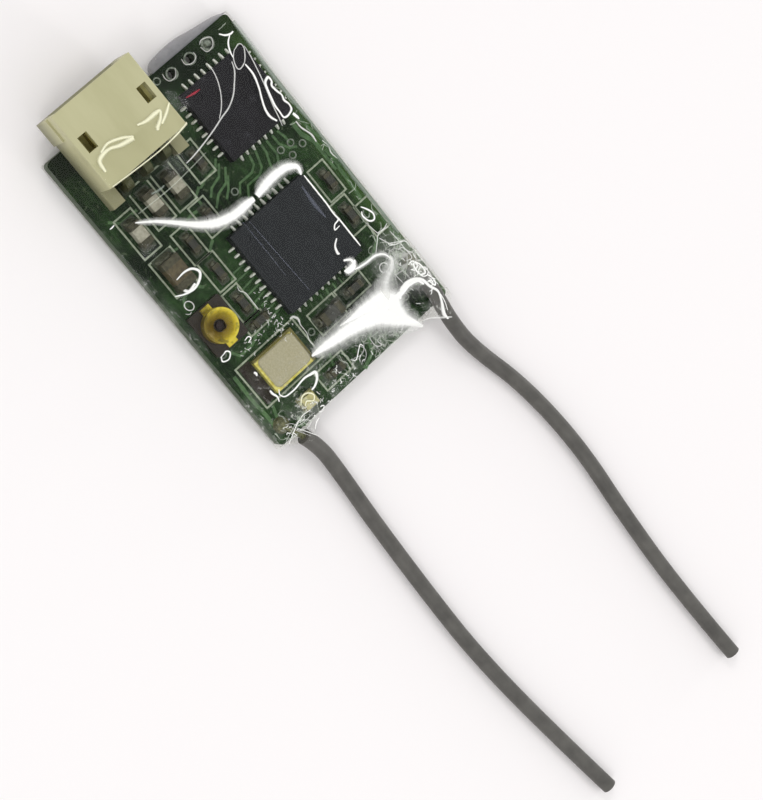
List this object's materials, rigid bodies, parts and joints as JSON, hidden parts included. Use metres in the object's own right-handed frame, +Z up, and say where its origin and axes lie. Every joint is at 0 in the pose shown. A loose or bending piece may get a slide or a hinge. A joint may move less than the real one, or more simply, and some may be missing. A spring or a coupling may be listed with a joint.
{
  "type": "rc receiver",
  "caption": "Micro radio control receiver: a chip-laden circuit board in a clear shrink sleeve, with a side entry lead socket on one end and wire antennas leaving the other.",
  "frame": {"origin": "middle of the board, sleeve and socket in plan, on the surface that the sleeve lies on", "axes": "+X along the board from the lead socket to the antennas, +Z up out of the chips' side"},
  "size_m": [0.0557, 0.0158, 0.0049],
  "materials": {
    "board": "glass fibre board under green solder mask",
    "sleeve": "clear glossy shrink film",
    "socket_moulding": "satin ivory moulding",
    "contact_plating": "tin plated",
    "solder": "bright solder",
    "controller_moulding": "matt black moulding, scuffed",
    "radio_moulding": "matt slate black moulding",
    "crystal_rim": "ceramic tray with gilt rim",
    "crystal_cover": "satin lid",
    "dark_plastic": "dark brown insulator",
    "gilt_metal": "polished gilt",
    "lamp_substrate": "white base",
    "lamp_resin": "yellowish resin",
    "wire_jacket": "grey wire insulation",
    "bare_conductor": "tinned wire",
    "dark_ferrite": "dark grey body",
    "capacitor_ceramic": "fired ceramic",
    "tan_ceramic": "tan fired ceramic",
    "end_plating": "tin plated ends"
  },
  "bodies": {
    "root": {"circuit_board": "board", "shrink_sleeve": "sleeve", "lead_socket": "socket_moulding", "socket_contact_1": "contact_plating", "socket_contact_2": "contact_plating", "socket_contact_3": "contact_plating", "tail_solder": "solder", "wire_hole_solder": "solder", "controller_chip": "controller_moulding", "controller_solder_joints": "solder", "radio_chip": "radio_moulding", "radio_solder_joints": "solder", "crystal_tray": "crystal_rim", "crystal_lid": "crystal_cover", "test_socket_base": "dark_plastic", "test_socket_contact": "gilt_metal", "test_socket_shell": "gilt_metal", "chip_solder_joints": "solder", "lamp_base": "lamp_substrate", "lamp_lens": "lamp_resin", "antenna_1": "wire_jacket", "antenna_2": "wire_jacket", "antenna_1_core": "bare_conductor", "antenna_2_core": "bare_conductor", "antenna_1_solder": "solder", "antenna_2_solder": "solder", "capacitor_1": "capacitor_ceramic", "capacitor_1_ends": "end_plating", "capacitor_2": "capacitor_ceramic", "capacitor_2_ends": "end_plating", "capacitor_3": "capacitor_ceramic", "capacitor_3_ends": "end_plating", "capacitor_4": "capacitor_ceramic", "capacitor_4_ends": "end_plating", "capacitor_5": "capacitor_ceramic", "capacitor_5_ends": "end_plating", "capacitor_6": "capacitor_ceramic", "capacitor_6_ends": "end_plating", "capacitor_7": "capacitor_ceramic", "capacitor_7_ends": "end_plating", "capacitor_8": "capacitor_ceramic", "capacitor_8_ends": "end_plating", "capacitor_9": "capacitor_ceramic", "capacitor_9_ends": "end_plating", "capacitor_10": "capacitor_ceramic", "capacitor_10_ends": "end_plating", "bulk_capacitor": "tan_ceramic", "bulk_capacitor_ends": "end_plating", "resistor_1": "dark_ferrite", "resistor_1_ends": "end_plating", "inductor_1": "dark_ferrite", "inductor_1_ends": "end_plating", "inductor_2": "dark_ferrite", "inductor_2_ends": "end_plating", "inductor_3": "dark_ferrite", "inductor_3_ends": "end_plating"}
  },
  "joints": []
}
